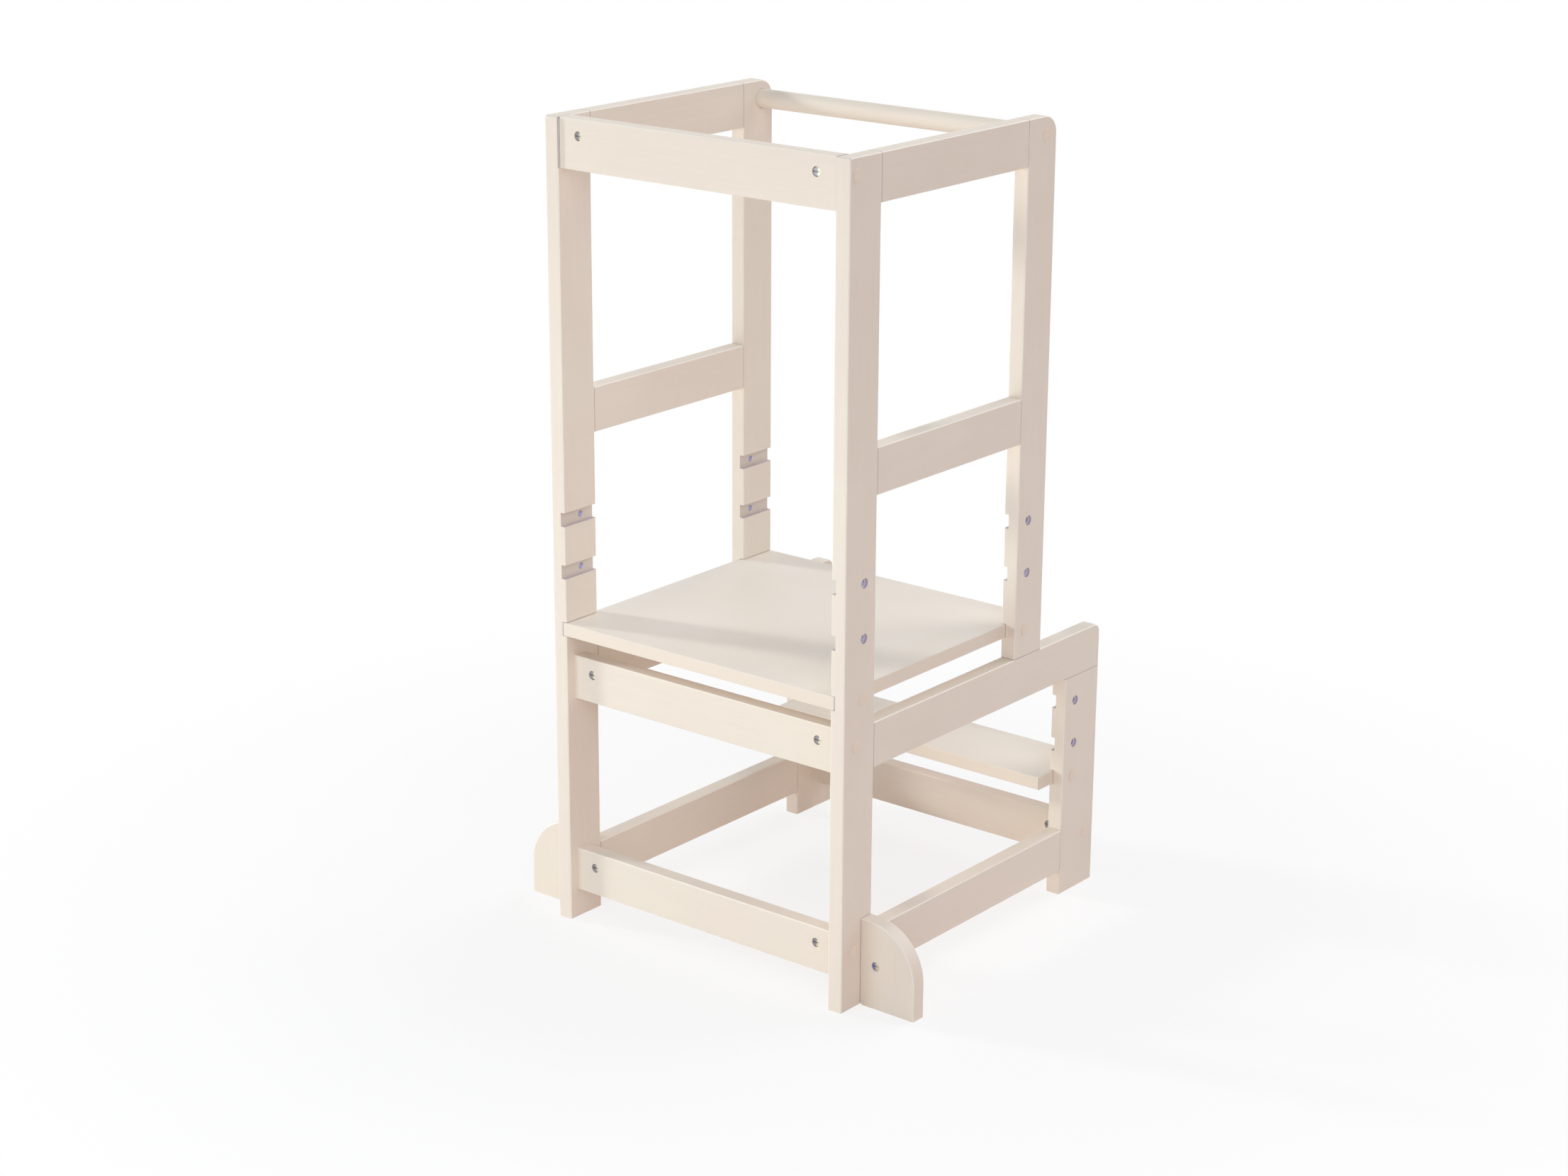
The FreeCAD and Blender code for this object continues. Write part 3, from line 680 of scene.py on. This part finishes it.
def moulded_cap(name, finish):
    """Injection-moulded polypropylene with a fine spark-eroded texture.

    The eye sees a matt, slightly rosy disc with a soft gloss on its rim.
    """
    material = bpy.data.materials.new(name)
    tree = empty_tree(material)
    point = add_node(tree, "ShaderNodeTexCoord").outputs["Object"]
    spark = add_node(tree, "ShaderNodeTexNoise", {
        "Vector": point, "Scale": 1 / SPARK_SIZE, "Detail": 2.0, "Roughness": 0.6}).outputs[0]
    shade = add_node(tree, "ShaderNodeMapRange", {
        "Value": spark, **NOISE_WIDE, "To Min": SPARK_SHADE, "To Max": 1.0}).outputs[0]
    tone = add_node(tree, "ShaderNodeMix", {
        0: 1.0, 6: opaque(finish.cap), 7: shade},
        data_type="RGBA", blend_type="MULTIPLY").outputs[2]
    relief = add_node(tree, "ShaderNodeBump", {
        "Height": spark, "Distance": SPARK_HEIGHT, "Strength": 1.0}).outputs[0]
    end_material(
        tree, Base_Color=tone, Roughness=CAP_ROUGHNESS, Normal=relief, IOR=PLASTIC_IOR)
    return material


def zinc_plate(name, finish, dark, middle_x, highlight_from):
    """Turned steel with bright zinc plate and chromate passivation.

    The eye sees a dark grey-violet or blue metal, partly a chromate tint and partly
    a painted reflection, that turns a bright straw on one side of each nut as a painted
    highlight, with fine turning marks.
    """
    material = bpy.data.materials.new(name)
    tree = empty_tree(material)
    point = add_node(tree, "ShaderNodeTexCoord").outputs["Object"]
    sideways = add_node(tree, "ShaderNodeSeparateXYZ", {0: point}).outputs["X"]

    # x is wrapped to -2 middle_x..0, so that a left and a right nut both have their
    # middle at -middle_x, and noise makes it ragged.
    across = add_node(tree, "ShaderNodeMath", {
        0: sideways, 1: 0.0, 2: -2 * middle_x}, operation="WRAP").outputs[0]
    ragged = add_node(tree, "ShaderNodeTexNoise", {
        "Vector": point, "Scale": 1 / HIGHLIGHT_EDGE_SIZE, "Detail": 2.0, "Roughness": 0.5}).outputs[0]
    across = add_node(tree, "ShaderNodeMath", {
        0: ragged, 1: HIGHLIGHT_EDGE_SWAY, 2: across}, operation="MULTIPLY_ADD").outputs[0]
    start = highlight_from - middle_x
    straw_highlight = add_node(tree, "ShaderNodeMapRange", {
        "Value": across, "From Min": start, "From Max": start + HIGHLIGHT_EDGE_BLEND},
        interpolation_type="SMOOTHSTEP").outputs[0]
    tone = add_node(tree, "ShaderNodeMix", {
        0: straw_highlight, 6: opaque(dark), 7: opaque(finish.plate_straw_highlight)},
        data_type="RGBA").outputs[2]
    marks = add_node(tree, "ShaderNodeTexNoise", {
        "Vector": point, "Scale": 1 / MARK_SIZE, "Detail": 2.0, "Roughness": 0.6}).outputs[0]
    relief = add_node(tree, "ShaderNodeBump", {
        "Height": marks, "Distance": MARK_HEIGHT, "Strength": 1.0}).outputs[0]
    rough = add_node(tree, "ShaderNodeMapRange", {
        "Value": marks, **NOISE_WIDE,
        "To Min": PLATE_ROUGHNESS[0], "To Max": PLATE_ROUGHNESS[1]}).outputs[0]
    end_material(tree, Base_Color=tone, Metallic=1.0, Roughness=rough, Normal=relief)
    return material


def bare_beech(name, finish, grain_axis):
    """Beech rod, turned and left bare, with short darker rays along the grain."""
    material = bpy.data.materials.new(name)
    tree = empty_tree(material)
    point = add_node(tree, "ShaderNodeTexCoord").outputs["Object"]
    stretch = [1 / RAY_WIDTH] * 3
    stretch["XYZ".index(grain_axis)] = 1 / RAY_LENGTH
    along = add_node(tree, "ShaderNodeMapping", {"Vector": point, "Scale": stretch}).outputs[0]
    rays = add_node(tree, "ShaderNodeTexNoise", {
        "Vector": along, "Scale": 1.0, "Detail": 3.0, "Roughness": 0.6}).outputs[0]
    share = add_node(tree, "ShaderNodeMapRange", {
        "Value": rays, **RAYS, "To Min": 0.0, "To Max": RAY_SHARE}).outputs[0]
    tone = add_node(tree, "ShaderNodeMix", {
        0: share, 6: opaque(finish.wood), 7: opaque(finish.wood_fleck)},
        data_type="RGBA").outputs[2]
    relief = add_node(tree, "ShaderNodeBump", {
        "Height": rays, "Distance": RAY_HEIGHT, "Strength": 1.0}).outputs[0]
    end_material(tree, Base_Color=tone, Roughness=BEECH_ROUGHNESS, Normal=relief)
    return material


def matt_floor(name, studio):
    """Matt white studio floor.

    Near the stool the lit floor shows through the plain white, so that the shadow
    stays; further off, camera, glossy and transmission rays see plain white.
    """
    material = bpy.data.materials.new(name)
    tree = empty_tree(material)
    point = add_node(tree, "ShaderNodeTexCoord").outputs["Object"]
    reach = add_node(tree, "ShaderNodeVectorMath", {
        0: point}, operation="LENGTH").outputs["Value"]
    plain = add_node(tree, "ShaderNodeMapRange", {
        "Value": reach, "From Min": studio.shadow_reach * SHADOW_CORE,
        "From Max": studio.shadow_reach, "To Min": FLOOR_WHITE, "To Max": 1.0},
        interpolation_type="SMOOTHSTEP").outputs[0]
    seen = seen_rays(tree)
    share = add_node(tree, "ShaderNodeMath", {
        0: seen, 1: plain}, operation="MULTIPLY").outputs[0]
    ground = add_node(tree, "ShaderNodeMix", {
        0: seen, 6: opaque(studio.floor), 7: opaque(studio.floor_seen)},
        data_type="RGBA").outputs[2]
    grit = add_node(tree, "ShaderNodeTexNoise", {
        "Vector": point, "Scale": 1 / GRIT_SIZE, "Detail": 2.0}).outputs[0]
    shade = add_node(tree, "ShaderNodeMapRange", {
        "Value": grit, "To Min": GRIT_SHADE, "To Max": 1.0}).outputs[0]
    tone = add_node(tree, "ShaderNodeMix", {
        0: 1.0, 6: ground, 7: shade}, data_type="RGBA", blend_type="MULTIPLY").outputs[2]
    matt = add_node(tree, "ShaderNodeBsdfDiffuse", {"Color": tone}).outputs[0]
    white = add_node(tree, "ShaderNodeEmission", {
        "Color": (1, 1, 1, 1), "Strength": 1.0}).outputs[0]
    both = add_node(tree, "ShaderNodeMixShader", {0: share, 1: matt, 2: white})
    add_node(tree, "ShaderNodeOutputMaterial", {"Surface": both.outputs[0]})
    return material


def repaint(material, *names):
    """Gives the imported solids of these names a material, slot by slot."""
    for name in names:
        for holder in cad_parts[name].material_slots:
            holder.material = material


def both_sides(*names):
    """The left and right names of each node."""
    return [f"{name}_{side}" for name in names for side in SIDES]


# ---- operators -------------------------------------------------------------
class STOOL_OT_side_frames(bpy.types.Operator):
    """Paint the two glued side frames, with hairlines at their joints"""
    bl_idname = "stool.side_frames"
    bl_label = "Paint Side Frames"

    def execute(self, context):
        finish = context.scene.stool_finish
        board_low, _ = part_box("front_top_board")
        post = painted_beech(
            "cream_paint_post", finish, "Z", "X", bores=True, board_shade_low_z=board_low[2])
        upright = painted_beech(
            "cream_paint_upright", finish, "Z", "X", seams=[("Z", SHELF_TOP_Z)], bores=True)
        leg = painted_beech(
            "cream_paint_step_leg", finish, "Z", "X", seams=[("Z", SHELF_LOW_Z)], bores=True)
        rail = painted_beech(
            "cream_paint_rail", finish, "Y", "X",
            seams=[("Y", POST_BACK_Y), ("Y", UPRIGHT_FRONT_Y)])
        shelf = painted_beech(
            "cream_paint_shelf_rail", finish, "Y", "X", seams=[("Y", POST_BACK_Y)])
        low = painted_beech(
            "cream_paint_bottom_rail", finish, "Y", "X",
            seams=[("Y", POST_BACK_Y), ("Y", LEG_FRONT_Y)])
        repaint(post, *both_sides("front_post"))
        repaint(upright, *both_sides("rear_upright"))
        repaint(leg, *both_sides("step_leg"))
        repaint(rail, *both_sides("top_rail", "middle_rail"))
        repaint(shelf, *both_sides("shelf_rail"))
        repaint(low, *both_sides("bottom_rail"))
        return {"FINISHED"}


class STOOL_OT_cross_boards(bpy.types.Operator):
    """Paint the three front boards and the rear cross board"""
    bl_idname = "stool.cross_boards"
    bl_label = "Paint Cross Boards"

    def execute(self, context):
        finish = context.scene.stool_finish
        # The top board's end lines are joint lines with painted shade in the corner at each post.
        flush = painted_beech(
            "cream_paint_top_board", finish, "X", "Y",
            seams=[("X", INNER_X), ("X", -INNER_X)], seam_and_shade_width=finish.board_joint_shade_width)
        board = painted_beech("cream_paint_board", finish, "X", "Y")
        repaint(flush, "front_top_board")
        repaint(board, "front_middle_board", "front_bottom_board", "rear_cross_board")
        return {"FINISHED"}


class STOOL_OT_panels(bpy.types.Operator):
    """Paint the standing platform and the step tread"""
    bl_idname = "stool.panels"
    bl_label = "Paint Platform and Tread"

    def execute(self, context):
        panel = painted_panel("cream_paint_panel", context.scene.stool_finish)
        repaint(panel, "platform", "step_tread")
        return {"FINISHED"}


class STOOL_OT_feet(bpy.types.Operator):
    """Paint the two stabiliser feet"""
    bl_idname = "stool.feet"
    bl_label = "Paint Stabiliser Feet"

    def execute(self, context):
        foot = painted_beech(
            "cream_paint_foot", context.scene.stool_finish, "Z", "Y",
            seams=[("X", OUTER_X), ("X", -OUTER_X)])
        repaint(foot, *both_sides("stabiliser_foot"))
        return {"FINISHED"}


class STOOL_OT_handrail(bpy.types.Operator):
    """Paint the round handrail"""
    bl_idname = "stool.handrail"
    bl_label = "Paint Handrail"

    def execute(self, context):
        rail = painted_beech("cream_paint_handrail", context.scene.stool_finish, "X", "X")
        repaint(rail, "handrail")
        return {"FINISHED"}


class STOOL_OT_cover_caps(bpy.types.Operator):
    """Make the moulded caps over the bolt heads"""
    bl_idname = "stool.cover_caps"
    bl_label = "Make Cover Caps"

    def execute(self, context):
        material = moulded_cap("moulded_cap_plastic", context.scene.stool_finish)
        profile = cap_profile(context.scene.stool_fittings)
        for side, sign in (("right", 1), ("left", -1)):
            places = np.array([(sign * OUTER_X, y, z) for y, z in OUTER_CAP_PLACES]
                              + [(sign * INNER_X, *INNER_CAP_PLACE)])
            axes = np.zeros_like(places)
            axes[:, 0] = sign
            axes[-1, 0] = -sign         # the inner cap looks inwards
            surface = revolved(profile, places, axes)
            caps = mesh_piece(f"moulded_caps_{side}", *surface, material)
            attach(caps, BODY)
            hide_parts(f"cover_caps_{side}")
        return {"FINISHED"}


class STOOL_OT_metal_fittings(bpy.types.Operator):
    """Plate the barrel nuts, furniture bolts and handrail screws"""
    bl_idname = "stool.metal_fittings"
    bl_label = "Plate Nuts, Bolts and Screws"

    def execute(self, context):
        finish = context.scene.stool_finish
        board = zinc_plate(
            "passivated_zinc_plate", finish, finish.plate, BOARD_NUT_X, BOARD_NUT_HIGHLIGHT)
        foot = zinc_plate(
            "blue_passivated_zinc_plate", finish, finish.plate_blue, FOOT_NUT_X, FOOT_NUT_HIGHLIGHT)
        repaint(
            board, "board_barrel_nuts", "platform_barrel_nuts", "step_tread_barrel_nuts",
            "board_bolts", "platform_bolts", "step_tread_bolts", "handrail_screws")
        repaint(foot, "foot_barrel_nuts", "foot_bolts")
        return {"FINISHED"}


class STOOL_OT_dowels(bpy.types.Operator):
    """Give the glued dowels their bare beech"""
    bl_idname = "stool.dowels"
    bl_label = "Finish Dowels"

    def execute(self, context):
        finish = context.scene.stool_finish
        repaint(bare_beech("bare_beech_across", finish, "X"), "board_dowels", "foot_dowels")
        repaint(bare_beech("bare_beech_frame", finish, "Y"), *both_sides("frame_dowels"))
        return {"FINISHED"}


# ---- studio ----------------------------------------------------------------
def add_lamp(name, colour, strength, azimuth, elevation, softness):
    """A sun lamp that stands at an azimuth and elevation, in degrees, with soft shadows."""
    around, above = math.radians(azimuth), math.radians(elevation)
    towards = Vector((
        -math.sin(around) * math.cos(above),
        math.cos(around) * math.cos(above),
        -math.sin(above)))
    lamp = bpy.data.lights.new(name, "SUN")
    lamp.color = colour
    lamp.energy = strength
    lamp.angle = math.radians(softness)
    holder = bpy.data.objects.new(name, lamp)
    holder.rotation_euler = towards.to_track_quat("-Z", "Y").to_euler()
    bpy.context.scene.collection.objects.link(holder)


def add_soft_box(name, colour, power, place, towards, width, height):
    """A rectangular area lamp that faces a point and isn't seen itself."""
    box = bpy.data.lights.new(name, "AREA")
    box.shape = "RECTANGLE"
    box.size, box.size_y = width, height
    box.color = colour
    box.energy = power
    holder = bpy.data.objects.new(name, box)
    holder.location = place
    aim = Vector(towards) - Vector(place)
    holder.rotation_euler = aim.to_track_quat("-Z", "Y").to_euler()
    holder.visible_camera = False
    bpy.context.scene.collection.objects.link(holder)


def floor_grid(reach, cells):
    """A flat square grid, point (u, v) at (u, v, 0), as points, quads and triangles."""
    steps = np.linspace(-reach, reach, cells + 1)
    u, v = np.meshgrid(steps, steps)
    points = np.stack([u, v, np.zeros_like(u)], -1).reshape(-1, 3)
    row, column = np.meshgrid(np.arange(cells), np.arange(cells), indexing="ij")
    start = row * (cells + 1) + column
    above = start + cells + 1
    quads = np.stack([start, start + 1, above + 1, above], -1).reshape(-1, 4)
    return points, quads, np.zeros((0, 3), int)


def light_room(scene, studio):
    """Room light by height, from the horizon to the ceiling, and white where it is seen."""
    world = bpy.data.worlds.new("studio_room")
    scene.world = world
    tree = empty_tree(world)
    direction = add_node(tree, "ShaderNodeTexCoord").outputs["Generated"]
    height = add_node(tree, "ShaderNodeSeparateXYZ", {0: direction}).outputs["Z"]
    rise = add_node(tree, "ShaderNodeMapRange", {
        "Value": height, "From Min": 0.0, "From Max": CEILING},
        interpolation_type="SMOOTHSTEP").outputs[0]
    light = add_node(tree, "ShaderNodeMix", {
        0: rise, 6: opaque(studio.horizon), 7: opaque(studio.zenith)},
        data_type="RGBA").outputs[2]
    room = add_node(tree, "ShaderNodeBackground", {"Color": light, "Strength": 1.0})
    white = add_node(tree, "ShaderNodeBackground", {"Color": (1, 1, 1, 1), "Strength": 1.0})
    both = add_node(tree, "ShaderNodeMixShader", {
        0: seen_rays(tree), 1: room.outputs[0], 2: white.outputs[0]})
    add_node(tree, "ShaderNodeOutputWorld", {"Surface": both.outputs[0]})


def place_camera(scene, studio):
    """The camera, turned by azimuth, elevation and roll, at its place."""
    camera = bpy.data.cameras.new("camera")
    camera.lens = studio.lens
    camera.sensor_width = SENSOR_WIDTH
    camera.clip_end = VIEW_REACH
    back = Vector((
        math.sin(studio.azimuth) * math.cos(studio.elevation),
        -math.cos(studio.azimuth) * math.cos(studio.elevation),
        math.sin(studio.elevation)))
    right = Vector(UP).cross(back).normalized()
    level = Matrix((right, back.cross(right), back)).transposed()
    turn = level @ Matrix.Rotation(-studio.roll, 3, "Z")
    holder = bpy.data.objects.new("camera", camera)
    holder.matrix_world = Matrix.Translation(studio.camera_place) @ turn.to_4x4()
    scene.collection.objects.link(holder)
    scene.camera = holder


class STOOL_OT_studio(bpy.types.Operator):
    """Set up the floor, the room light, the lamps and the camera"""
    bl_idname = "stool.studio"
    bl_label = "Set Up Studio"

    def execute(self, context):
        scene = context.scene
        studio = scene.stool_studio
        grid = floor_grid(studio.floor_reach, FLOOR_CELLS)
        mesh_piece("studio_floor", *grid, matt_floor("matt_white_floor", studio))
        light_room(scene, studio)
        for name, (azimuth, elevation, softness) in LAMP_PLACES.items():
            add_lamp(
                f"{name}_lamp", getattr(studio, f"{name}_colour"),
                getattr(studio, f"{name}_strength"), azimuth, elevation, softness)
        add_soft_box("front_box", studio.front_colour, studio.front_power, *FRONT_BOX)
        place_camera(scene, studio)
        scene.view_settings.view_transform = "Standard"
        return {"FINISHED"}


class STOOL_PT_panel(bpy.types.Panel):
    """Lists the stool's settings and the steps that make it"""
    bl_label = "Helper Stool"
    bl_idname = "STOOL_PT_panel"
    bl_space_type = "VIEW_3D"
    bl_region_type = "UI"
    bl_category = "Helper Stool"

    def draw(self, context):
        layout = self.layout
        scene = context.scene
        for group in (scene.stool_finish, scene.stool_fittings, scene.stool_studio):
            box = layout.box()
            for name in group.__annotations__:
                box.prop(group, name)
        for operator in STEPS:
            layout.operator(operator.bl_idname)


STEPS = (
    STOOL_OT_side_frames, STOOL_OT_cross_boards, STOOL_OT_panels, STOOL_OT_feet,
    STOOL_OT_handrail, STOOL_OT_cover_caps, STOOL_OT_metal_fittings, STOOL_OT_dowels,
    STOOL_OT_studio,
)
CLASSES = (StoolFinish, StoolFittings, StoolStudio, *STEPS, STOOL_PT_panel)


def register():
    for cls in CLASSES:
        bpy.utils.register_class(cls)
    bpy.types.Scene.stool_finish = PointerProperty(type=StoolFinish)
    bpy.types.Scene.stool_fittings = PointerProperty(type=StoolFittings)
    bpy.types.Scene.stool_studio = PointerProperty(type=StoolStudio)


def unregister():
    del bpy.types.Scene.stool_studio
    del bpy.types.Scene.stool_fittings
    del bpy.types.Scene.stool_finish
    for cls in reversed(CLASSES):
        bpy.utils.unregister_class(cls)


def main():
    """Registers the add-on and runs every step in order."""
    register()
    for operator in STEPS:
        group, name = operator.bl_idname.split(".")
        getattr(getattr(bpy.ops, group), name)()


if __name__ == "__main__":
    main()
